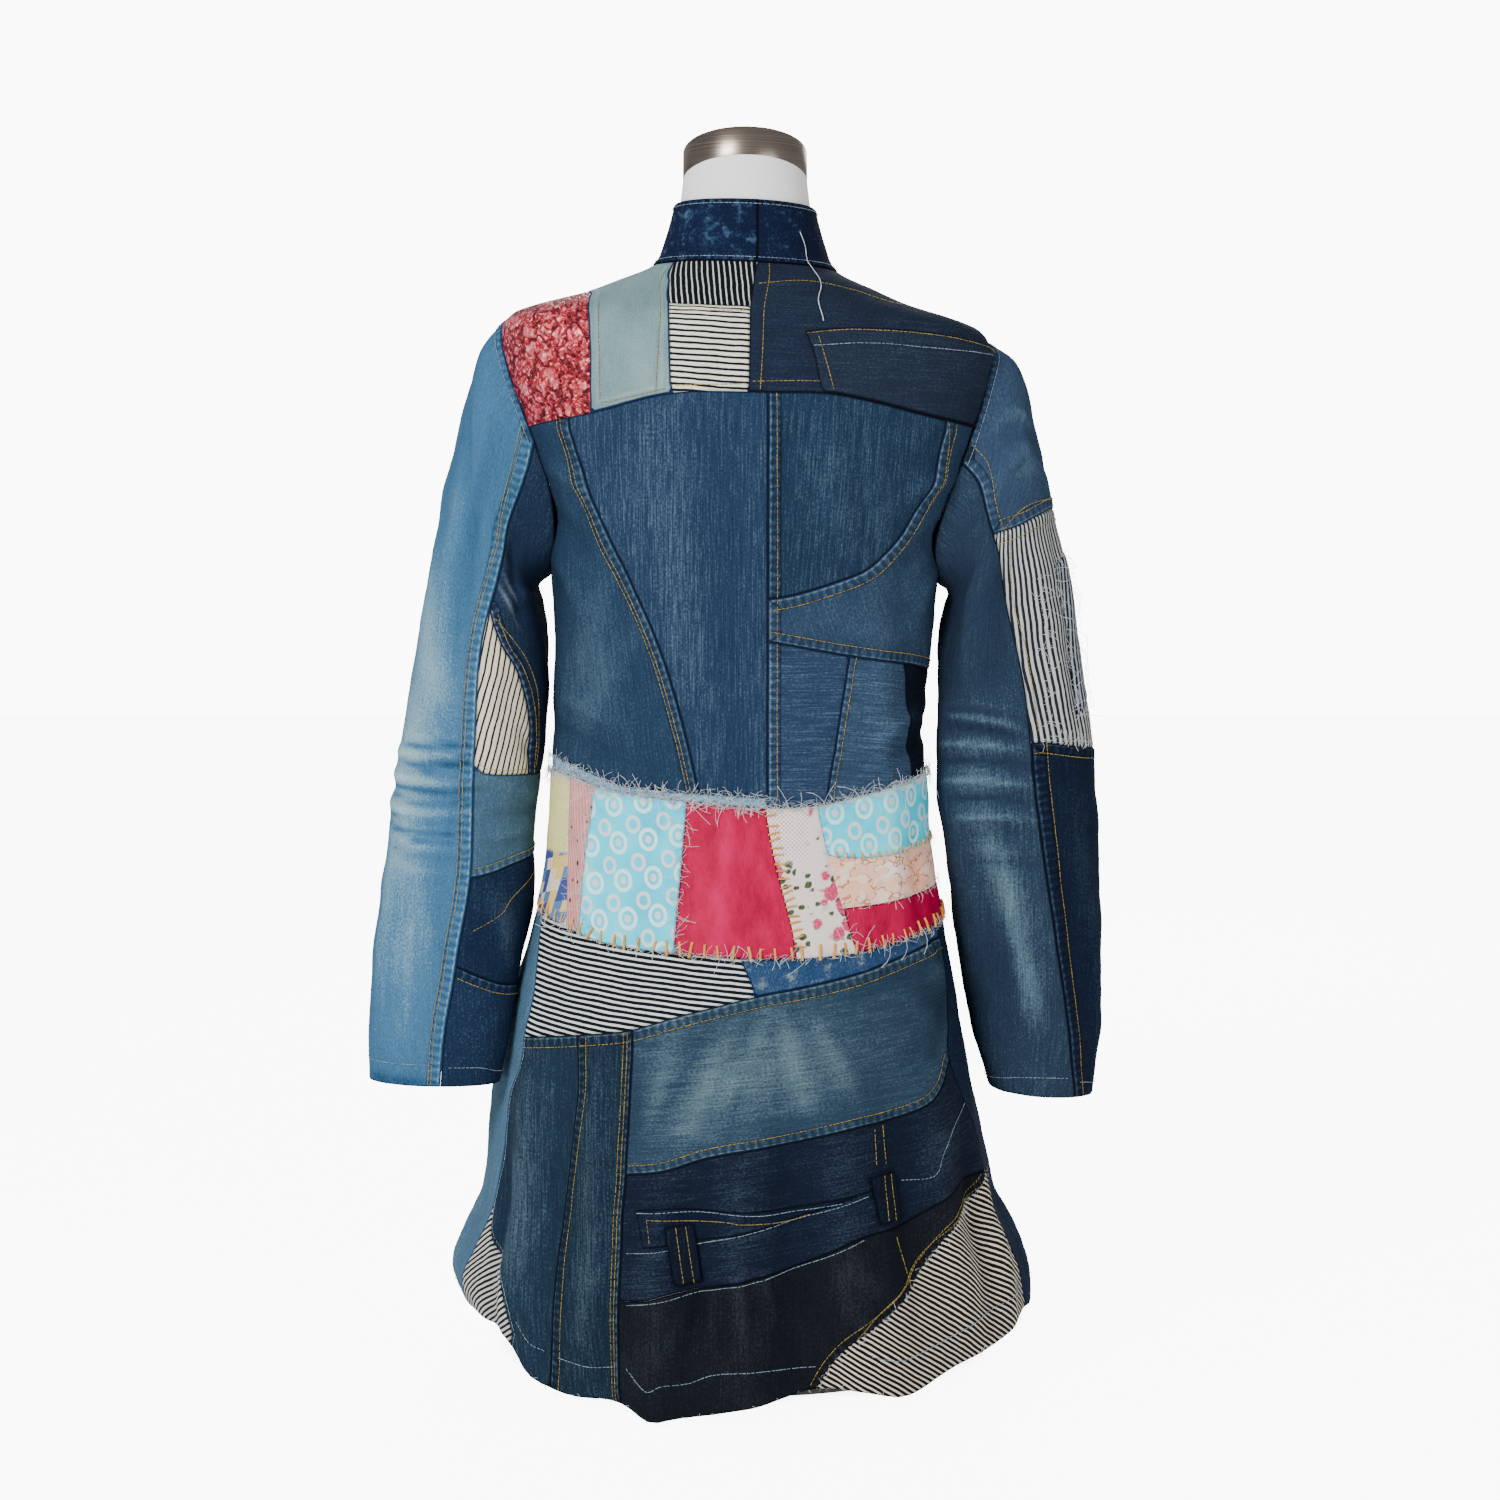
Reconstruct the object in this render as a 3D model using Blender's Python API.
"""A long patchwork denim jacket on a limbless dress form, seen from its back at -Y.

Metres, +Z up, origin on the floor under the middle of the base. Right and left are as seen from
the back, so right is +X. The body of the jacket is one surface through rings, and so is each
sleeve. The seams are drawn on that surface, the cloth is cut along them, and each piece becomes a
wall of its own thickness.
"""

import math

import bpy
import numpy as np
from mathutils import Vector
from mathutils.geometry import delaunay_2d_cdt

MM = 0.001

# Driving sizes
WALL = 1.5 * MM            # denim with its turnings
BELT_WALL = 2.2 * MM       # layered patchwork
BELT_LIFT = 1.4 * MM       # how far the belt stands above the panels
COLLAR_WALL = 2.4 * MM
COLLAR_LIFT = 0.9 * MM
FLAT_HALF = 480 * MM       # half of the girth on the plain roll where the cloth is laid out
SEAM_INSET = 0.15 * MM     # half of the gap between neighbours
LAID_GAP = 0.3 * MM        # between a panel and what is laid on it
LAID_WALL = 1.3 * MM
LOOP_GAP = 2.2 * MM        # between the skirt and a belt loop
GRID = 36 * MM             # spacing of the points inside a body panel
SEAM_STEP = 30 * MM
CLOSE_GRID = 24 * MM       # the same over the tight curve of the shoulders
SHOULDER_FROM = 838 * MM
SLEEVE_GRID = 27 * MM
SLEEVE_STEP = 25 * MM
ARMHOLE_STEPS = 24
NECK_SEAM = 905 * MM
FRONT_EDGE_TURN = 179.7    # degrees from the centre back to each front edge
COLLAR_TOP = 955 * MM
SLEEVE_RADIUS = 55 * MM    # turns degrees round a sleeve into a distance
SLEEVE_CUT = (-105, 255)   # degrees round the sleeve, where the hidden front seam lies
NECK_TILT = math.radians(16)
CAP_RADIUS = 50.3 * MM
CAP_HEIGHT = 25 * MM
CAP_CENTRE_Z = 976 * MM
FORM_BOTTOM = 305 * MM

# Rings of the body: height, reach to the left, to the right, to the back and to the front of the
# middle in millimetres, and how square the ring is, where 2 is an ellipse.
BODY_RINGS = (
    (0, 214, 228, 177, 166, 2.0),
    (30, 221, 232, 175, 163, 2.0),
    (60, 231, 231, 172, 160, 2.0),
    (85, 238, 228, 168, 157, 2.0),
    (113, 229, 219, 164, 153, 2.0),
    (145, 215, 204, 159, 149, 2.0),
    (185, 210, 197, 153, 144, 2.05),
    (228, 207, 189, 146, 138, 2.1),
    (310, 193, 175, 132, 124, 2.15),
    (385, 171, 161, 113, 110, 2.2),
    (425, 163, 153, 102, 103, 2.2),
    (475, 160, 149, 94, 99, 2.2),
    (540, 157, 146, 88, 98, 2.2),
    (605, 156, 153, 92, 104, 2.2),
    (675, 160, 160, 100, 113, 2.2),
    (720, 168, 176, 104, 115, 2.25),
    (769, 184, 192, 106, 110, 2.4),
    (815, 196, 199, 103, 100, 2.5),
    (840, 199, 201, 99, 92, 2.5),
    (853, 197, 197, 96, 88, 2.5),
    (861, 190, 190, 94, 85, 2.5),
    (867, 178, 178, 92, 83, 2.45),
    (873, 157, 157, 90, 81, 2.4),
    (881, 130, 130, 86, 78, 2.3),
    (891, 106, 106, 80, 74, 2.25),
    (902, 80, 80, 70, 69, 2.2),
    (908, 71.5, 71.5, 64.5, 66, 2.2),
    (925, 64.5, 64.5, 60.5, 63, 2.15),
    (940, 60, 60, 57.5, 59, 2.05),
    (960, 55, 55, 54.5, 55, 2.0),
)

# Soft flares of the skirt: degrees round from the centre back, width in degrees, height where
# each begins and how far it stands out at the hem in millimetres.
SKIRT_FLARES = (
    (-62, 9, 230, 9),
    (-38, 10, 330, -8),
    (-14, 12, 260, 7),
    (14, 12, 240, -5),
    (36, 11, 260, 8),
    (60, 9, 210, -7),
    (96, 12, 240, 6),
    (128, 12, 300, -8),
    (152, 10, 260, 7),
    (-128, 12, 300, 8),
    (-155, 10, 260, -6),
)

# The right shoulder sits lower than the left: above LEAN_FROM the rings tip by this slope.
LEAN = 35 * MM
LEAN_FROM = 605 * MM
LEAN_FULL = 785 * MM

# Armholes by side: height of the top and bottom, half width to the back and to the front, mm.
ARMHOLES = {
    "left": (862, 657, 52, 54),
    "right": (855, 652, 54, 55),
}

# Sleeve rows in millimetres: way down the sleeve, then the outer edge (reach from the middle of
# the body, height), the inner edge (reach, height), the middle's y and half the depth.
SLEEVES = {
    "left": (
        (0, 188, 867, 160, 657, 0, 54),
        (22, 207, 845, 168, 652, 0, 55),
        (58, 224, 800, 171, 648, -1, 55),
        (105, 238, 748, 169, 639, -2, 54),
        (155, 250, 699, 165, 618, -3, 51),
        (205, 261, 648, 162, 594, -3, 50),
        (255, 270, 596, 161, 567, -3, 49),
        (305, 279, 545, 163, 532, -2, 48),
        (355, 287, 495, 169, 485, 0, 47),
        (405, 293, 446, 173, 441, -6, 46),
        (455, 299, 397, 175, 395, -16, 44),
        (505, 303, 350, 182, 350, -32, 41),
        (555, 304, 304, 188, 303, -48, 37),
        (608, 304, 254, 198, 251, -56, 31),
    ),
    "right": (
        (0, 190, 850, 158, 650, 0, 55),
        (22, 214, 834, 166, 645, 0, 56),
        (58, 231, 794, 168, 641, -1, 56),
        (105, 244, 746, 166, 632, -2, 54),
        (155, 254, 699, 161, 612, -3, 53),
        (205, 265, 650, 158, 588, -3, 50),
        (255, 273, 596, 158, 562, -3, 49),
        (305, 282, 545, 157, 527, -2, 49),
        (355, 288, 490, 158, 480, 0, 49),
        (405, 292, 440, 165, 433, 3, 48),
        (455, 294, 390, 173, 385, 7, 47),
        (505, 296, 340, 179, 338, 11, 46),
        (555, 297, 290, 187, 290, 15, 45),
        (612, 290, 228, 204, 233, 19, 44),
    ),
}
SLEEVE_SETTLE = 90 * MM    # a sleeve leaves the armhole's own shape over this way down

# Seams of the body, as (distance round the body from the centre back, height) in millimetres.
# A smooth seam bends through its points, a straight one turns at them.
SMOOTH_SEAMS = {
    "hem": (
        (-640, 20), (-540, 34), (-450, 26), (-360, 40), (-300, 58), (-236, 61), (-204, 52),
        (-186, 27), (-154, 17), (-106, 17), (-76, 7), (-50, 13), (16, 23), (60, 33), (95, 29),
        (130, 23), (174, 34), (215, 39), (257, 48), (301, 54), (360, 42), (450, 26), (540, 32),
        (640, 20)),
    "belt_top": (
        (-560, 500), (-400, 502), (-260, 503), (-185, 500), (-148, 497), (-116, 489), (-57, 482),
        (12, 476), (57, 477), (103, 486), (168, 496), (260, 503), (400, 502), (560, 500)),
    "belt_bottom": (
        (-560, 390), (-400, 389), (-260, 388), (-187, 386), (-142, 376), (-113, 369), (-56, 364),
        (12, 360), (78, 362), (125, 368), (173, 376), (260, 384), (400, 389), (560, 390)),
    "waist_strip_top": ((-204, 512), (-185, 512), (-150, 507), (-121, 499), (-90, 491), (18, 484)),
    "yoke_bottom_left": ((-188, 771), (-123, 781), (-57, 798), (4, 801), (18, 801)),
    "yoke_bottom_right": ((18, 801), (63, 802), (101, 797), (149, 788), (225, 780)),
    "waistband_top": ((46, 850), (75, 854), (116, 855), (165, 853), (224, 848)),
    "brocade_light": ((-172, 883), (-137, 879), (-126, 870), (-122, 830), (-123, 781)),
    "princess": ((-144, 777), (-133, 743), (-113, 690), (-95, 658), (-70, 608), (-51, 549), (-36, 486)),
    "curve": (
        (166, 785), (160, 764), (157, 745), (146, 722), (130, 695), (115, 678), (96, 663),
        (67, 652), (41, 644), (18, 640)),
    "second": ((18, 607), (84, 595), (138, 588), (196, 580), (212, 579)),
    "lower_diagonal": ((84, 595), (75, 537), (65, 480)),
    "lower_side": ((137, 588), (143, 542), (150, 492)),
    "fuchsia_floral": ((16, 476), (24, 433), (37, 383), (40, 362)),
    "floral_right": ((57, 477), (66, 437), (78, 397), (88, 364)),
    "turquoise_peach": ((66, 437), (110, 435), (172, 442), (235, 446)),
    "peach_fuchsia": ((78, 397), (121, 400), (176, 406), (235, 410)),
    "ticking_left": ((-196, 386), (-188, 349), (-189, 318), (-197, 289)),
    "skirt_sweep": (
        (-197, 289), (-141, 297), (-111, 301), (-89, 305), (-63, 313), (-35, 321), (9, 332),
        (50, 339), (92, 347), (125, 355), (161, 363), (189, 366)),
    "skirt_inner": ((-89, 305), (-90, 269), (-95, 193), (-99, 150), (-101, 100), (-105, 17)),
    "faded_bottom": (
        (-95, 193), (-63, 198), (-26, 210), (29, 219), (85, 229), (127, 234), (157, 241),
        (176, 255), (188, 272)),
    "side_right": (
        (180, 380), (190, 363), (195, 345), (193, 310), (188, 272), (212, 236), (233, 203), (238, 176)),
    "dark_lower_top": (
        (-101, 97), (-79, 99), (-58, 106), (-33, 112), (-10, 115), (33, 124), (58, 133), (93, 146),
        (133, 151), (165, 163), (198, 172), (238, 176)),
    "corner": (
        (238, 176), (222, 160), (193, 147), (172, 136), (149, 118), (138, 103), (114, 86),
        (83, 67), (67, 51), (56, 33)),
    "corner_front": ((238, 176), (256, 140), (280, 98), (304, 55)),
    "side_left": (
        (-197, 289), (-200, 268), (-213, 248), (-221, 222), (-234, 186), (-245, 151),
        (-242, 128), (-217, 111), (-204, 91), (-198, 52)),
    "skirt_left_seam": (
        (-137, 297), (-136, 253), (-143, 214), (-153, 161), (-158, 120), (-162, 65), (-168, 20)),
    "godet_front": ((-245, 151), (-262, 120), (-285, 85), (-305, 58)),
    "flap_top": ((-87, 168), (-49, 172), (7, 170), (42, 173), (74, 178), (104, 182)),
    "flap_bottom": ((-80, 138), (-65, 140), (-38, 146), (-2, 152), (33, 160), (67, 171), (104, 182)),
}
STRAIGHT_SEAMS = {
    "collar_back": ((10, 905), (10, 955)),
    "centre_back": ((18, 801), (18, 476)),
    "light_ticking": ((-60, 905), (-57, 798)),
    "ticking_ticking": ((-58, 868), (4, 868)),
    "yoke_middle": ((9, 905), (4, 868), (3, 801)),
    "waistband_left": ((46, 850), (53, 831), (59, 802)),
    "plaid_pink": ((-151, 498), (-154, 380)),
    "pink_turquoise": ((-125, 492), (-140, 376)),
    "turquoise_fuchsia": ((-46, 481), (-56, 364)),
    "ticking_bleached": ((-4, 361), (9, 332)),
    "flap_left": ((-87, 168), (-80, 138)),
    "loop_left": ((-62, 157), (-39, 161), (-32, 117), (-55, 111), (-62, 157)),
    "loop_right": ((97, 192), (124, 194), (131, 155), (106, 153), (97, 192)),
}
# Seams that keep to one turn of the body: side, degrees from the centre back, and the heights
# that they run between in mm.
TURN_SEAMS = {
    "shoulder_left": ("left", 90, 860, 905),
    "shoulder_right": ("right", 90, 853, 905),
    "side_upper_left": ("left", 91, 501, 659),
    "side_upper_right": ("right", 91, 578, 654),
    "side_lower_right": ("right", 97, 501, 578),
    "belt_end_right": ("right", 100, 384, 501),
    "front_edge_left": ("left", FRONT_EDGE_TURN, 0, 905),
    "collar_front_left": ("left", FRONT_EDGE_TURN, 905, 955),
    "front_edge_right": ("right", FRONT_EDGE_TURN, 0, 905),
    "collar_front_right": ("right", FRONT_EDGE_TURN, 905, 955),
    "placket_edge": ("right", 166, 501, 905),
}

# Pieces of the body: name, a point on it (round, height in mm), kind of wall and colour. Laid
# pieces are made from the points of the panel under them, which keeps its own name there.
PLAIN, BELT, COLLAR = (0.0, WALL), (BELT_LIFT, BELT_WALL), (COLLAR_LIFT, COLLAR_WALL)
INDIGO, DEEP, MIDBLUE, PALE = (0.03, 0.08, 0.16), (0.01, 0.025, 0.06), (0.09, 0.2, 0.33), (0.3, 0.42, 0.46)
BODY_PIECES = (
    ("collar_left", (-60, 930), COLLAR, (0.01, 0.03, 0.09)),
    ("collar_right", (60, 930), COLLAR, DEEP),
    ("yoke_brocade", (-150, 820), PLAIN, (0.5, 0.06, 0.07)),
    ("yoke_light", (-90, 850), PLAIN, PALE),
    ("yoke_ticking_dark", (-30, 885), PLAIN, (0.03, 0.04, 0.04)),
    ("yoke_ticking_white", (-30, 830), PLAIN, (0.7, 0.68, 0.62)),
    ("yoke_right", (30, 880), PLAIN, (0.02, 0.035, 0.075)),
    ("back_left", (-30, 700), PLAIN, INDIGO),
    ("back_side_left", (-150, 620), PLAIN, MIDBLUE),
    ("back_right_curve", (80, 740), PLAIN, INDIGO),
    ("back_side_right", (165, 660), PLAIN, (0.04, 0.09, 0.17)),
    ("back_right_lower", (45, 540), PLAIN, (0.03, 0.06, 0.14)),
    ("back_right_corner", (115, 540), PLAIN, (0.03, 0.06, 0.14)),
    ("side_right_lower", (175, 540), PLAIN, (0.015, 0.03, 0.07)),
    ("waist_strip", (-100, 491), PLAIN, (0.3, 0.45, 0.55)),
    ("belt_plaid", (-170, 440), BELT, (0.8, 0.75, 0.45)),
    ("belt_pink", (-142, 440), BELT, (0.62, 0.28, 0.26)),
    ("belt_turquoise", (-90, 430), BELT, (0.15, 0.6, 0.75)),
    ("belt_fuchsia", (-10, 420), BELT, (0.65, 0.02, 0.12)),
    ("belt_floral", (50, 420), BELT, (0.75, 0.6, 0.55)),
    ("belt_turquoise_right", (120, 460), BELT, (0.2, 0.65, 0.8)),
    ("belt_peach", (120, 418), BELT, (0.8, 0.45, 0.3)),
    ("belt_fuchsia_right", (130, 385), BELT, (0.65, 0.02, 0.12)),
    ("belt_front_right", (330, 440), BELT, (0.15, 0.6, 0.75)),
    ("skirt_ticking", (-120, 335), PLAIN, (0.5, 0.5, 0.45)),
    ("skirt_bleached", (80, 353), PLAIN, (0.2, 0.35, 0.5)),
    ("skirt_faded", (50, 280), PLAIN, (0.1, 0.18, 0.27)),
    ("skirt_side_left", (-190, 200), PLAIN, INDIGO),
    ("skirt_inner_left", (-120, 180), PLAIN, INDIGO),
    ("skirt_dark_band", (150, 200), PLAIN, DEEP),
    ("skirt_dark_lower", (0, 70), PLAIN, (0.015, 0.018, 0.03)),
    ("skirt_ticking_corner", (170, 70), PLAIN, (0.4, 0.38, 0.33)),
    ("godet_left", (-245, 90), PLAIN, (0.4, 0.38, 0.33)),
    ("skirt_front_left", (-400, 200), PLAIN, (0.2, 0.33, 0.45)),
    ("skirt_front_right", (400, 200), PLAIN, DEEP),
    ("front_left", (-350, 640), PLAIN, INDIGO),
    ("front_right", (300, 640), PLAIN, INDIGO),
)
# name, point on the laid piece, the panel under it, gap, wall, colour
LAID_PIECES = (
    ("yoke_waistband", (120, 825), "yoke_right", LAID_GAP, LAID_WALL, (0.02, 0.04, 0.085)),
    ("skirt_flap", (10, 160), "skirt_dark_band", LAID_GAP, LAID_WALL, (0.015, 0.03, 0.07)),
    ("placket", (392, 640), "front_right", LAID_GAP, WALL, DEEP),
)
# Belt loops bridge the flap's edge, so each takes all cloth inside its outline.
LOOP_PIECES = ("loop_left", "loop_right")

# Seams of the sleeves, as (degrees round from the outer edge, way down in mm).
SLEEVE_SEAMS = {
    "left": {
        "inner": (
            (90, 0), (99, 20), (106, 60), (110, 95), (103, 150), (97, 189), (93, 230), (93, 269),
            (98, 340), (103, 402), (104, 434), (102, 472), (101, 518), (98, 563), (99, 608)),
        "ticking_edge": ((97, 189), (111, 220), (123, 237), (131, 257), (142, 294), (150, 343)),
        "ticking_bottom": ((98, 340), (109, 344), (150, 343), (255, 340)),
        "mid_bottom": ((104, 434), (119, 430), (162, 418), (255, 410)),
        "dark_bottom": ((101, 508), (125, 519), (157, 527), (255, 532)),
    },
    "right": {
        "inner": (
            (90, 0), (95, 30), (100, 70), (94, 128), (89, 200), (83, 263), (82, 316), (81, 358),
            (78, 427), (73, 482), (67, 539), (63, 578), (55, 612)),
        "ticking_top": ((101, 85), (69, 119), (19, 138), (-40, 142), (-105, 120)),
        "ticking_bottom": ((82, 316), (67, 320), (26, 328), (-40, 330), (-105, 322)),
        "tab": ((41, 182), (12, 176), (2, 235), (6, 290), (38, 304), (33, 240), (41, 182)),
    },
}
SLEEVE_PIECES = {
    "left": (
        ("sleeve_left_outer", (0, 300), (0.16, 0.28, 0.37)),
        ("sleeve_left_upper", (180, 150), (0.03, 0.07, 0.14)),
        ("sleeve_left_ticking", (110, 300), (0.7, 0.66, 0.58)),
        ("sleeve_left_mid", (180, 385), (0.1, 0.22, 0.33)),
        ("sleeve_left_dark", (180, 470), (0.02, 0.05, 0.1)),
        ("sleeve_left_cuff", (180, 575), (0.015, 0.03, 0.08)),
    ),
    "right": (
        ("sleeve_right_upper", (0, 60), (0.04, 0.09, 0.18)),
        ("sleeve_right_ticking", (65, 220), (0.35, 0.35, 0.33)),
        ("sleeve_right_outer", (0, 480), (0.012, 0.03, 0.07)),
        ("sleeve_right_inner", (180, 350), (0.05, 0.1, 0.17)),
    ),
}
TAB_PIECE = ("sleeve_right_tab", (22, 240), "sleeve_right_ticking")

# How far the form stands inside the outer face of the jacket: height, distance in mm.
FORM_CLEAR = (
    (305, 30), (385, 24), (475, 18), (540, 16), (605, 14), (675, 12), (769, 10), (815, 9),
    (853, 8), (873, 7), (891, 6.5), (902, 8))
# Neck of the form: height, radius in mm, share of the cap's tilt.
FORM_NECK = ((915, 56, 0.0), (935, 54.5, 0.2), (955, 52.7, 0.5), (975.6, 50.2, 1.0))
# Stand: height, half width, half depth in mm. A flat oval plate and a round pole.
STAND_RINGS = (
    (0, 147, 86), (1.5, 150, 89), (8.5, 150, 89), (10, 147, 86), (10.5, 24, 24), (14, 18, 18),
    (22, 16, 16), (300.7, 16, 16))
BUTTON_HEIGHTS = (862, 760, 655, 548)
BUTTON_RADIUS = 8.5 * MM
# Profile of a button from its crown to its shank: share of the radius, way out in mm.
BUTTON_PROFILE = ((0.55, 4.4), (0.82, 3.4), (1.0, 3.6), (1.0, 1.6), (0.6, 1.2), (0.5, 0.0))


def smooth(x, xs, ys):
    """Monotone curve through (xs, ys), held flat past the ends."""
    xs, ys = np.asarray(xs, float), np.asarray(ys, float)
    step, slope = np.diff(xs), np.diff(ys) / np.diff(xs)
    tangent = np.zeros(len(xs))
    w1, w2 = 2 * step[1:] + step[:-1], step[1:] + 2 * step[:-1]
    same = slope[:-1] * slope[1:] > 0
    tangent[1:-1][same] = (w1 + w2)[same] / (w1[same] / slope[:-1][same] + w2[same] / slope[1:][same])
    tangent[0], tangent[-1] = slope[0], slope[-1]
    x = np.clip(x, xs[0], xs[-1])
    i = np.clip(np.searchsorted(xs, x) - 1, 0, len(step) - 1)
    t = (x - xs[i]) / step[i]
    near = (1 + 2 * t) * (1 - t) ** 2 * ys[i] + t * (1 - t) ** 2 * step[i] * tangent[i]
    far = t * t * (3 - 2 * t) * ys[i + 1] + t * t * (t - 1) * step[i] * tangent[i + 1]
    return near + far


def ease(t):
    t = np.clip(t, 0, 1)
    return t * t * (3 - 2 * t)


class Body:
    """The surface of the jacket's body, in (distance round, height)."""

    RINGS = np.array(BODY_RINGS) * [MM, MM, MM, MM, MM, 1]
    HEIGHTS = np.arange(0, 961, 5) * MM
    TURNS = np.linspace(-180, 180, 721)
    MIDDLE = 360

    def __init__(self):
        x, y = self.ring(self.TURNS[None, :], self.HEIGHTS[:, None])
        steps = np.hypot(np.diff(x, axis=1), np.diff(y, axis=1))
        around = np.concatenate([np.zeros((len(steps), 1)), np.cumsum(steps, axis=1)], axis=1)
        self.around = around - around[:, self.MIDDLE:self.MIDDLE + 1]
        shares = np.linspace(-1, 1, len(self.TURNS))
        self.turn_table = np.array([
            np.interp(shares, np.where(row < 0, row / -row[0], row / row[-1]), self.TURNS)
            for row in self.around])
        # Up the cloth: the slope of the shoulders counts, so the cloth is cut nearly true there.
        reach = (self.RINGS[:, 1] + self.RINGS[:, 2] + 2 * self.RINGS[:, 3]) / 4
        slope = np.abs(np.gradient(smooth(self.HEIGHTS, self.RINGS[:, 0], reach), self.HEIGHTS))
        up = np.sqrt(1 + slope ** 2)
        self.up = np.concatenate([[0], np.cumsum((up[1:] + up[:-1]) / 2 * np.diff(self.HEIGHTS))])
        self.close_above = np.interp(SHOULDER_FROM, self.HEIGHTS, self.up)

    def ring(self, turn, z):
        """(x, y) of the plain ring of height z at a turn."""
        side, back = np.sin(np.radians(turn)), np.cos(np.radians(turn))
        left, right, rear, front, square = (
            smooth(z, self.RINGS[:, 0], self.RINGS[:, k]) for k in range(1, 6))
        reach_x = np.where(side < 0, left, right)
        reach_y = np.where(back > 0, rear, front)
        r = (np.abs(side / reach_x) ** square + np.abs(back / reach_y) ** square) ** (-1 / square)
        for at, wide, top, out in SKIRT_FLARES:
            grow = np.clip(1 - z / (top * MM), 0, 1) ** 1.5
            away = (turn - at + 180) % 360 - 180
            r = r + out * MM * grow * np.exp(-(away / wide) ** 2)
        return r * side, -r * back

    def cell(self, z):
        i = np.clip(z / (self.HEIGHTS[1] - self.HEIGHTS[0]), 0, len(self.HEIGHTS) - 1.001)
        return i.astype(int), i - i.astype(int)

    def half_girth(self, z, side):
        return np.interp(z, self.HEIGHTS, -self.around[:, 0] if side == "left" else self.around[:, -1])

    def turn_at(self, s, z):
        half = np.where(s < 0, self.half_girth(z, "left"), self.half_girth(z, "right"))
        j = (s / half + 1) * self.MIDDLE
        i0, fi = self.cell(z)
        j0 = np.clip(j.astype(int), 0, 2 * self.MIDDLE - 1)
        fj = j - j0
        low = self.turn_table[i0, j0] * (1 - fj) + self.turn_table[i0, j0 + 1] * fj
        high = self.turn_table[i0 + 1, j0] * (1 - fj) + self.turn_table[i0 + 1, j0 + 1] * fj
        return low * (1 - fi) + high * fi

    def round_at(self, turn, z):
        turn, z = np.broadcast_arrays(np.asarray(turn, float), np.asarray(z, float))
        j = np.clip((turn + 180) * 2, 0, 2 * self.MIDDLE - 0.001)
        i0, fi = self.cell(z)
        j0, fj = j.astype(int), j - j.astype(int)
        low = self.around[i0, j0] * (1 - fj) + self.around[i0, j0 + 1] * fj
        high = self.around[i0 + 1, j0] * (1 - fj) + self.around[i0 + 1, j0 + 1] * fj
        return low * (1 - fi) + high * fi

    def point(self, s, z):
        s, z = np.broadcast_arrays(np.asarray(s, float), np.asarray(z, float))
        return self.lean(*self.ring(self.turn_at(s, z), z), z)

    def lean(self, x, y, z):
        return np.stack([x, y, z - LEAN * ease((z - LEAN_FROM) / (LEAN_FULL - LEAN_FROM)) * x], -1)

    def to_flat(self, s, z):
        """The cloth laid out: turns become distances on a plain roll of FLAT_HALF each way."""
        return np.stack([self.turn_at(s, z) / 180 * FLAT_HALF, np.interp(z, self.HEIGHTS, self.up)], -1)

    def from_flat(self, flat):
        z = np.interp(flat[:, 1], self.up, self.HEIGHTS)
        return self.lean(*self.ring(flat[:, 0] / FLAT_HALF * 180, z), z)

    def flat_step(self, flat):
        """Flat size of one metre of cloth, across and up."""
        z = np.interp(flat[:, 1], self.up, self.HEIGHTS)
        return np.stack([FLAT_HALF / self.half_girth(z, "right"), np.ones(len(z))], -1)

    def armhole(self, side, theta, inset=0.0):
        """(round, height) of an armhole's edge. Theta is 0 at the shoulder and 90 degrees behind."""
        top, bottom, rear, front = (value * MM for value in ARMHOLES[side])
        sign = -1 if side == "left" else 1
        up, back = np.cos(theta), np.sin(theta)
        z = (top + bottom) / 2 + ((top - bottom) / 2 - inset) * up
        wide = np.where(back > 0, rear, front) - inset
        return self.round_at(90.0 * sign, z) - sign * wide * back * (1 - 0.12 * up), z


class Sleeve:
    """The surface of a sleeve, in (distance round from its outer edge, way down)."""

    close_above = math.inf

    def __init__(self, body, side):
        self.body, self.side = body, side
        self.sign = -1 if side == "left" else 1
        self.rows = np.array(SLEEVES[side], float) * MM

    def ring(self, theta, down):
        outer_x, outer_z, inner_x, inner_z, y, deep = (
            smooth(down, self.rows[:, 0], self.rows[:, k]) for k in range(1, 7))
        out, back = np.cos(theta), np.sin(theta)
        return np.stack([
            self.sign * ((outer_x + inner_x) / 2 + (outer_x - inner_x) / 2 * out),
            y - deep * back,
            (outer_z + inner_z) / 2 + (outer_z - inner_z) / 2 * out], -1)

    def point(self, theta, down):
        theta, down = np.broadcast_arrays(np.asarray(theta, float), np.asarray(down, float))
        start = self.body.point(*self.body.armhole(self.side, theta, 0.4 * MM))
        keep = ease(1 - down / SLEEVE_SETTLE)
        return self.ring(theta, down) + (start - self.ring(theta, 0 * down)) * keep[..., None]

    def to_flat(self, degrees, down):
        return np.stack([-self.sign * np.radians(degrees) * SLEEVE_RADIUS, -down], -1)

    def from_flat(self, flat):
        return self.point(-self.sign * flat[:, 0] / SLEEVE_RADIUS, -flat[:, 1])

    def flat_step(self, flat):
        return np.ones((len(flat), 2))


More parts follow.
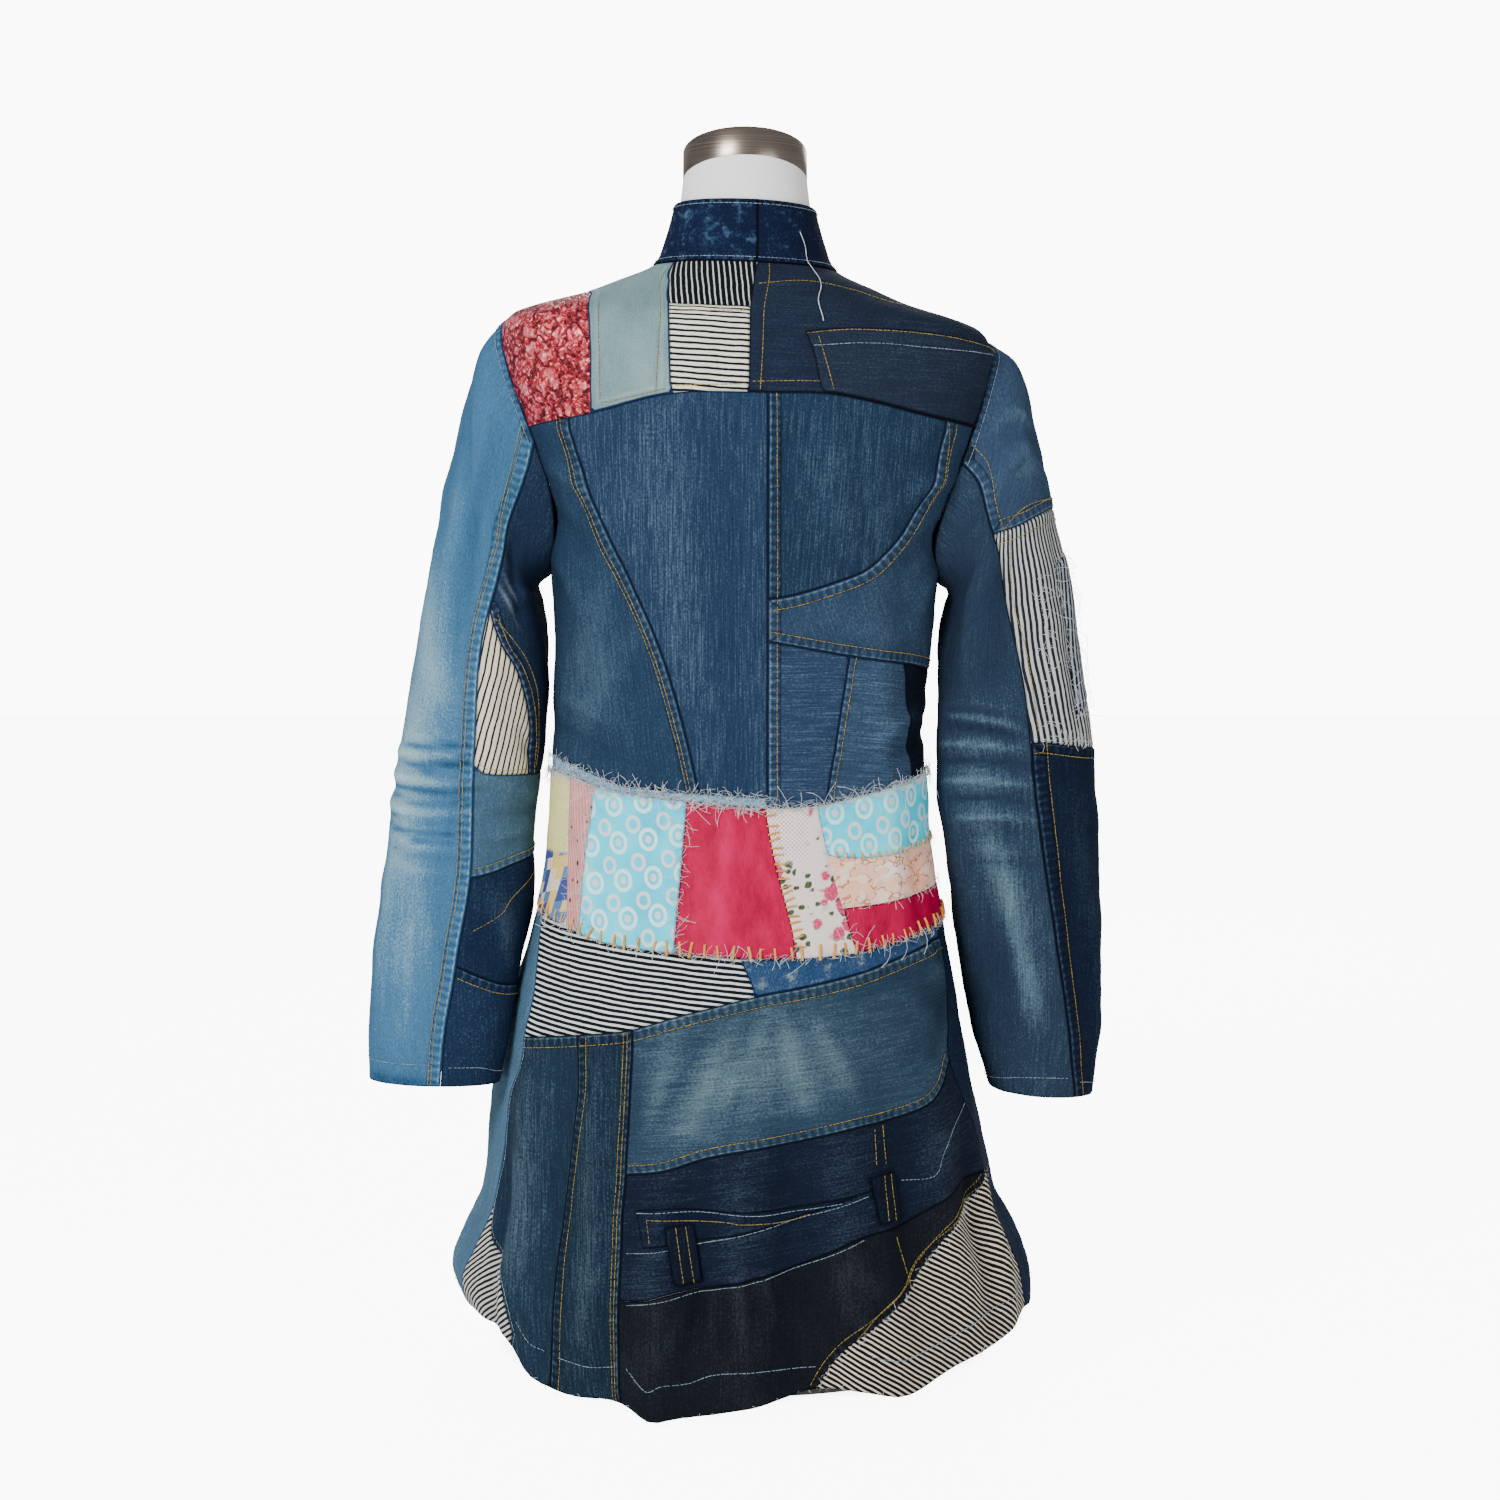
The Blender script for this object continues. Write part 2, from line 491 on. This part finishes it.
def bend(points):
    """A smooth line through the points, with a few more between each two."""
    p = np.asarray(points, float)
    p = np.vstack([2 * p[0] - p[1], p, 2 * p[-1] - p[-2]])
    line = []
    for a, b, c, d in zip(p[:-3], p[1:-2], p[2:-1], p[3:]):
        for t in (0.0, 0.25, 0.5, 0.75):
            line.append(0.5 * (2 * b + (c - a) * t + (2 * a - 5 * b + 4 * c - d) * t * t
                               + (3 * b - a - 3 * c + d) * t ** 3))
    return np.array(line + [p[-2]])


def dense(line, parts=6):
    """The same line with each of its stretches in several parts."""
    share = np.arange(parts)[:, None] / parts
    return np.vstack([a + (b - a) * share for a, b in zip(line[:-1], line[1:])] + [line[-1:]])


def spaced(line, step):
    """The line with points a step apart at most, its corners over 20 degrees kept."""
    line = np.asarray(line, float)
    runs, start = [], 0
    for i in range(1, len(line)):
        last = i == len(line) - 1
        if not last:
            a, b = line[i] - line[i - 1], line[i + 1] - line[i]
            turn = abs(math.atan2(a[0] * b[1] - a[1] * b[0], a @ b))
        if last or turn > math.radians(20):
            runs.append(line[start:i + 1])
            start = i
    out = [line[0]]
    for run in runs:
        far = np.concatenate([[0], np.cumsum(np.linalg.norm(np.diff(run, axis=0), axis=1))])
        for want in np.linspace(0, far[-1], max(1, math.ceil(far[-1] / step)) + 1)[1:]:
            out.append(np.array([np.interp(want, far, run[:, 0]), np.interp(want, far, run[:, 1])]))
    return np.array(out)


def near_line(point, line):
    """Distance from a point to a line, the place on it and the segment."""
    a, b = line[:-1], line[1:]
    way = b - a
    t = np.clip(((point - a) * way).sum(1) / np.maximum((way ** 2).sum(1), 1e-12), 0, 1)
    foot = a + way * t[:, None]
    away = np.linalg.norm(foot - point, axis=1)
    k = int(away.argmin())
    return away[k], foot[k], k


def join_ends(lines, reach=9 * MM, same=5 * MM):
    """Brings each seam's end onto the seam it meets, and gives that seam a point there."""
    lines = {name: line.copy() for name, line in lines.items()}
    for name in list(lines):
        if np.allclose(lines[name][0], lines[name][-1]):
            continue
        for end in (0, -1):
            point = lines[name][end]
            best = None
            for other in lines:
                if other != name:
                    away, foot, k = near_line(point, lines[other])
                    if best is None or away < best[0]:
                        best = (away, foot, k, other)
            away, foot, k, other = best
            if away > reach:
                continue
            line = lines[other]
            corners = np.linalg.norm(line - foot, axis=1)
            if corners.min() < same:
                foot = line[corners.argmin()]
            else:
                lines[other] = np.insert(line, k + 1, foot, axis=0)
            lines[name][end] = foot
    return lines


def triangulate(lines, grid, close_above, low, high):
    """One net of triangles over the flat cloth, with every seam an edge of it."""
    points, edges, index = [], [], {}

    def number(p):
        key = (round(p[0], 6), round(p[1], 6))
        if key not in index:
            index[key] = len(points)
            points.append(key)
        return index[key]

    for line in lines.values():
        ids = [number(p) for p in line]
        edges += [(a, b) for a, b in zip(ids[:-1], ids[1:]) if a != b]
    seams = np.array(points)
    segments = np.array([(points[a], points[b]) for a, b in edges])
    way = segments[:, 1] - segments[:, 0]
    for close, step in ((False, grid), (True, CLOSE_GRID)):
        for r, y in enumerate(np.arange(low[1], high[1], step * math.sqrt(3) / 2)):
            if (y > close_above) != close:
                continue
            for x in np.arange(low[0] + (step / 2 if r % 2 else 0), high[0], step):
                p = np.array([x, y])
                if np.linalg.norm(seams - p, axis=1).min() < 0.5 * step:
                    continue
                t = np.clip(((p - segments[:, 0]) * way).sum(1) / (way ** 2).sum(1), 0, 1)
                if np.linalg.norm(segments[:, 0] + way * t[:, None] - p, axis=1).min() > 0.42 * step:
                    points.append((x, y))
    verts, found, faces, _, origin, _ = delaunay_2d_cdt(
        [Vector(p) for p in points], edges, [], 0, 1e-6)
    cut = {tuple(sorted(edge)) for edge, source in zip(found, origin) if source}
    return np.array([tuple(v) for v in verts]), [tuple(face) for face in faces], cut


def regions(faces, cut):
    """Number of the piece that each triangle lies in: pieces part at the seams."""
    by_edge = {}
    for f, face in enumerate(faces):
        for a, b in zip(face, face[1:] + face[:1]):
            by_edge.setdefault(tuple(sorted((a, b))), []).append(f)
    region = [-1] * len(faces)
    count = 0
    for first in range(len(faces)):
        if region[first] >= 0:
            continue
        stack = [first]
        region[first] = count
        while stack:
            face = faces[stack.pop()]
            for a, b in zip(face, face[1:] + face[:1]):
                edge = tuple(sorted((a, b)))
                if edge in cut:
                    continue
                for other in by_edge[edge]:
                    if region[other] < 0:
                        region[other] = count
                        stack.append(other)
        count += 1
    return np.array(region)


def face_at(point, verts, faces):
    for f, (a, b, c) in enumerate(faces):
        p, q, r = verts[a], verts[b], verts[c]
        turns = [
            (v[0] - u[0]) * (point[1] - u[1]) - (v[1] - u[1]) * (point[0] - u[0])
            for u, v in ((p, q), (q, r), (r, p))]
        if min(turns) >= -1e-9 or max(turns) <= 1e-9:
            return f
    raise ValueError(f"no cloth at {point}")


def inside(points, outline):
    """Which points lie inside a closed outline."""
    x, y = points[:, 0], points[:, 1]
    odd = np.zeros(len(points), bool)
    for (x1, y1), (x2, y2) in zip(outline[:-1], outline[1:]):
        if y1 != y2:
            odd ^= ((y1 > y) != (y2 > y)) & (x < (x2 - x1) * (y - y1) / (y2 - y1) + x1)
    return odd


def outward(surface, flat, step=0.5 * MM):
    """Unit normals of a surface at flat points, away from the wearer."""
    across = surface.from_flat(flat + [step, 0]) - surface.from_flat(flat - [step, 0])
    along = surface.from_flat(flat + [0, step]) - surface.from_flat(flat - [0, step])
    normal = np.cross(across, along)
    return normal / np.linalg.norm(normal, axis=1)[:, None]


def cloth_wall(surface, flat, faces, lift, wall, inset=SEAM_INSET):
    """Points and faces of one cut piece: outer face, inner face and the cut edge between them."""
    used = sorted({v for face in faces for v in face})
    place = {v: i for i, v in enumerate(used)}
    faces = [tuple(place[v] for v in face) for face in faces]
    flat = flat[used].copy()
    turned = []
    for a, b, c in faces:
        u, v = flat[b] - flat[a], flat[c] - flat[a]
        turned.append((a, b, c) if u[0] * v[1] - u[1] * v[0] > 0 else (a, c, b))
    single = {}
    for face in turned:
        for a, b in zip(face, face[1:] + face[:1]):
            if (b, a) in single:
                del single[(b, a)]
            else:
                single[(a, b)] = True
    edge_in = {}
    for a, b in single:
        way = flat[b] - flat[a]
        way = way / np.linalg.norm(way)
        for v in (a, b):
            edge_in.setdefault(v, []).append(np.array([-way[1], way[0]]))
    moved, steps = flat.copy(), surface.flat_step(flat)
    for v, inward in edge_in.items():
        total = sum(inward)
        size = np.linalg.norm(total)
        if size > 0.2:
            middle = total / size
            moved[v] = flat[v] + middle * steps[v] * inset / max(0.4, middle @ inward[0])
    base = surface.from_flat(moved)
    normal = outward(surface, moved)
    outer, inner = base + normal * lift, base + normal * (lift - wall)
    n = len(used)
    solid = list(turned) + [(a + n, c + n, b + n) for a, b, c in turned]
    for a, b in single:
        solid += [(b, a, a + n), (b, a + n, b + n)]
    return np.vstack([outer, inner]), solid


def material(name, colour, rough=0.85, metal=0.0):
    made = bpy.data.materials.new(name)
    made.use_nodes = True
    shader = made.node_tree.nodes["Principled BSDF"]
    shader.inputs["Base Color"].default_value = (*colour, 1)
    shader.inputs["Roughness"].default_value = rough
    shader.inputs["Metallic"].default_value = metal
    return made


def add_object(name, points, faces, colour, rough=0.85, metal=0.0, parent=None):
    mesh = bpy.data.meshes.new(name)
    mesh.from_pydata([tuple(p) for p in points], [], faces)
    mesh.update()
    mesh.shade_smooth()
    mesh.set_sharp_from_angle(angle=math.radians(40))
    mesh.materials.append(material(name, colour, rough, metal))
    obj = bpy.data.objects.new(name, mesh)
    obj.parent = parent
    bpy.context.scene.collection.objects.link(obj)
    return obj


class Cloth:
    """A surface with its seams drawn on it, ready to be cut."""

    def __init__(self, surface, lines, grid, parent):
        self.surface, self.parent = surface, parent
        self.lines = join_ends(lines)
        every = np.vstack(list(self.lines.values()))
        self.flat, self.faces, cut = triangulate(
            self.lines, grid, surface.close_above, every.min(0), every.max(0))
        self.region = regions(self.faces, cut)
        self.taken = {}

    def region_at(self, point):
        return self.region[face_at(point, self.flat, self.faces)]

    def faces_of(self, found):
        return [face for face, region in zip(self.faces, self.region) if region in found]

    def claim(self, name, found):
        for region in found:
            if region in self.taken:
                raise ValueError(f"{name} and {self.taken[region]} are one piece: a seam is open")
            self.taken[region] = name

    def cut_piece(self, name, found, lift, wall, colour):
        self.claim(name, found)
        points, faces = cloth_wall(self.surface, self.flat, self.faces_of(found), lift, wall)
        return add_object(name, points, faces, colour, parent=self.parent)

    def lay_piece(self, name, faces, gap, wall, colour, inset=1.0 * MM):
        """A piece laid on a panel: the panel's own points, moved out."""
        points, solid = cloth_wall(self.surface, self.flat, faces, gap + wall, wall, inset)
        return add_object(name, points, solid, colour, parent=self.parent)


def draw_body_seams(body):
    lines = {}
    for table, curved in ((SMOOTH_SEAMS, True), (STRAIGHT_SEAMS, False)):
        for name, points in table.items():
            line = np.array(points, float) * MM
            s, z = dense(bend(line) if curved else line).T
            lines[name] = spaced(body.to_flat(s, z), SEAM_STEP)
    for name, (side, turn, low, high) in TURN_SEAMS.items():
        z = np.linspace(low, high, math.ceil((high - low) / 4) + 1) * MM
        s = body.round_at(turn * (-1 if side == "left" else 1), z)
        lines[name] = spaced(body.to_flat(s, z), CLOSE_GRID if "shoulder" in name else SEAM_STEP)
    for name, z in (("neck", NECK_SEAM), ("collar_edge", COLLAR_TOP)):
        reach = float(body.round_at(FRONT_EDGE_TURN, z))
        step = 13 * MM
        s = np.linspace(-reach, reach, 2 * math.ceil(reach / step) + 1)
        lines[name] = body.to_flat(s, np.full(len(s), z))
    theta = np.radians(np.arange(ARMHOLE_STEPS + 1) * 360 / ARMHOLE_STEPS)
    for side in ARMHOLES:
        lines["armhole_" + side] = body.to_flat(*body.armhole(side, theta))
    return lines


def build_body(body, parent):
    cloth = Cloth(body, draw_body_seams(body), GRID, parent)
    laid = {name: (under, gap, wall, colour, cloth.region_at(body.to_flat(*np.array(at) * MM)))
            for name, at, under, gap, wall, colour in LAID_PIECES}
    loops = {name: cloth.lines[name] for name in LOOP_PIECES}
    middles = np.array([cloth.flat[list(face)].mean(0) for face in cloth.faces])
    in_loop = {name: inside(middles, line) for name, line in loops.items()}
    claimed = {name: {cloth.region_at(body.to_flat(*np.array(at) * MM))} for name, at, _, _ in BODY_PIECES}
    for name, (under, _, _, _, region) in laid.items():
        claimed[under].add(region)
    for held in in_loop.values():
        claimed["skirt_dark_band"] |= set(cloth.region[held].tolist())
    for name, _, (lift, wall), colour in BODY_PIECES:
        cloth.cut_piece(name, claimed[name], lift, wall, colour)
    flap_region = {laid["skirt_flap"][4]}
    for name, held in in_loop.items():
        for region in set(cloth.region[held].tolist()):
            middle = middles[cloth.region == region].mean(0)
            if inside(middle[None], flap_outline(cloth))[0]:
                flap_region.add(region)
    for name, (under, gap, wall, colour, region) in laid.items():
        found = flap_region if name == "skirt_flap" else {region}
        cloth.lay_piece(name, cloth.faces_of(found), gap, wall, colour)
    for name, held in in_loop.items():
        faces = [face for face, on in zip(cloth.faces, held) if on]
        cloth.lay_piece("belt_" + name, faces, LOOP_GAP, LAID_WALL, DEEP)
    return cloth


def flap_outline(cloth):
    top, bottom, left = (cloth.lines[name] for name in ("flap_top", "flap_bottom", "flap_left"))
    return np.vstack([left[::-1], top, bottom[::-1]])


def build_sleeve(body, side, parent):
    sleeve = Sleeve(body, side)
    rows = sleeve.rows
    end = rows[-1, 0]
    lines = {}
    for name, points in SLEEVE_SEAMS[side].items():
        degrees, down = np.array(points, float).T
        line = sleeve.to_flat(degrees, down * MM)
        lines[name] = spaced(line if name == "tab" else bend(line), SLEEVE_STEP)
    step = 360 / ARMHOLE_STEPS
    start, stop = SLEEVE_CUT
    turns = np.arange(start, stop + step / 2, step)
    lines["armhole"] = sleeve.to_flat(turns, 0 * turns)
    lines["cuff"] = sleeve.to_flat(turns, np.full(len(turns), end))
    downs = np.linspace(0, end, math.ceil(end / SLEEVE_STEP) + 1)
    for name, turn in (("front_a", start), ("front_b", stop)):
        lines[name] = sleeve.to_flat(np.full(len(downs), float(turn)), downs)
    cloth = Cloth(sleeve, lines, SLEEVE_GRID, parent)

    def at(point):
        return cloth.region_at(sleeve.to_flat(float(point[0]), point[1] * MM))

    tab, tab_at, tab_under = TAB_PIECE
    for name, point, colour in SLEEVE_PIECES[side]:
        found = {at(point)} | ({at(tab_at)} if name == tab_under else set())
        cloth.cut_piece(name, found, 0.0, WALL, colour)
    if side == "right":
        cloth.lay_piece(tab, cloth.faces_of({at(tab_at)}), LAID_GAP, LAID_WALL, (0.4, 0.45, 0.5))
    return cloth


def loft(rings):
    """Points and faces of a closed solid through rings of equal count, bottom to top."""
    n = len(rings[0])
    points = [p for ring in rings for p in ring]
    faces = []
    for r in range(len(rings) - 1):
        for i in range(n):
            a, b = r * n + i, r * n + (i + 1) % n
            faces.append((a, b, b + n, a + n))
    faces.append(tuple(reversed(range(n))))
    faces.append(tuple(range((len(rings) - 1) * n, len(rings) * n)))
    return points, faces


def oval(z, reach_x, reach_y, count, tilt=0.0):
    turn = np.linspace(0, 2 * math.pi, count, endpoint=False)
    x, y = reach_x * np.cos(turn), reach_y * np.sin(turn)
    return np.stack([x, y, z - y * math.tan(NECK_TILT) * tilt], -1)


def build_form(body, parent):
    count = 30
    turns = np.linspace(90, 450, count, endpoint=False)
    clear = np.array(FORM_CLEAR) * MM
    heights = np.concatenate([
        np.linspace(FORM_BOTTOM, 840 * MM, 12), np.array([857, 867, 875, 885, 898]) * MM])
    rings = [oval(FORM_BOTTOM - 4 * MM, 0.118, 0.075, count)]
    for z in heights:
        s = body.round_at((turns + 180) % 360 - 180, np.full(count, z))
        flat = body.to_flat(s, np.full(count, z))
        ring = body.from_flat(flat) - outward(body, flat) * smooth(z, clear[:, 0], clear[:, 1])
        rings.append(ring)
    rings += [oval(z * MM, r * MM, r * MM, count, tilt) for z, r, tilt in FORM_NECK]
    points, faces = loft(rings)
    add_object("form_body", points, faces, (0.85, 0.84, 0.82), 0.9, parent=parent)
    points, faces = loft([oval(z * MM, x * MM, y * MM, 32) for z, x, y in STAND_RINGS])
    add_object("form_stand", points, faces, (0.5, 0.49, 0.47), 0.35, 1.0, parent)
    profile = ((-1.2, 0.0), (0.0, 1.0), (0.0, CAP_HEIGHT / MM - 1.2), (-1.2, CAP_HEIGHT / MM),
               (-14, CAP_HEIGHT / MM + 2.6), (-32, CAP_HEIGHT / MM + 4.4))
    rings = []
    for inward, up in profile:
        r = CAP_RADIUS + inward * MM
        ring = oval(0, r, r, 36)
        ring[:, 2] = up * MM
        lean = np.array([ring[:, 0], ring[:, 1] * math.cos(NECK_TILT) + ring[:, 2] * math.sin(NECK_TILT),
                         -ring[:, 1] * math.sin(NECK_TILT) + ring[:, 2] * math.cos(NECK_TILT)]).T
        rings.append(lean + [0, 0, CAP_CENTRE_Z])
    points, faces = loft(rings)
    add_object("form_cap", points, faces, (0.42, 0.38, 0.34), 0.3, 1.0, parent)


def build_buttons(body, parent):
    sides = 12
    for number, height in enumerate(BUTTON_HEIGHTS, 1):
        z = np.array([height * MM])
        s = body.round_at(173.0, z)
        flat = body.to_flat(s, z)
        out = outward(body, flat)[0]
        middle = body.from_flat(flat)[0] + out * (LAID_GAP + WALL + 0.4 * MM)
        side = np.cross([0, 0, 1], out)
        side /= np.linalg.norm(side)
        up = np.cross(out, side)
        rings = []
        for share, lift in reversed(BUTTON_PROFILE):
            turn = np.linspace(0, 2 * math.pi, sides, endpoint=False)[:, None]
            r = BUTTON_RADIUS * share
            rings.append(middle + (side * np.cos(turn) + up * np.sin(turn)) * r + out * lift * MM)
        points, faces = loft(rings)
        add_object(f"button_{number}", points, faces, (0.3, 0.2, 0.11), 0.35, 1.0, parent)


def main():
    for obj in list(bpy.data.objects):
        bpy.data.objects.remove(obj, do_unlink=True)
    jacket = bpy.data.objects.new("jacket", None)
    form = bpy.data.objects.new("dress_form", None)
    for empty in (jacket, form):
        bpy.context.scene.collection.objects.link(empty)
    body = Body()
    build_body(body, jacket)
    for side in SLEEVES:
        build_sleeve(body, side, jacket)
    build_buttons(body, jacket)
    build_form(body, form)


main()
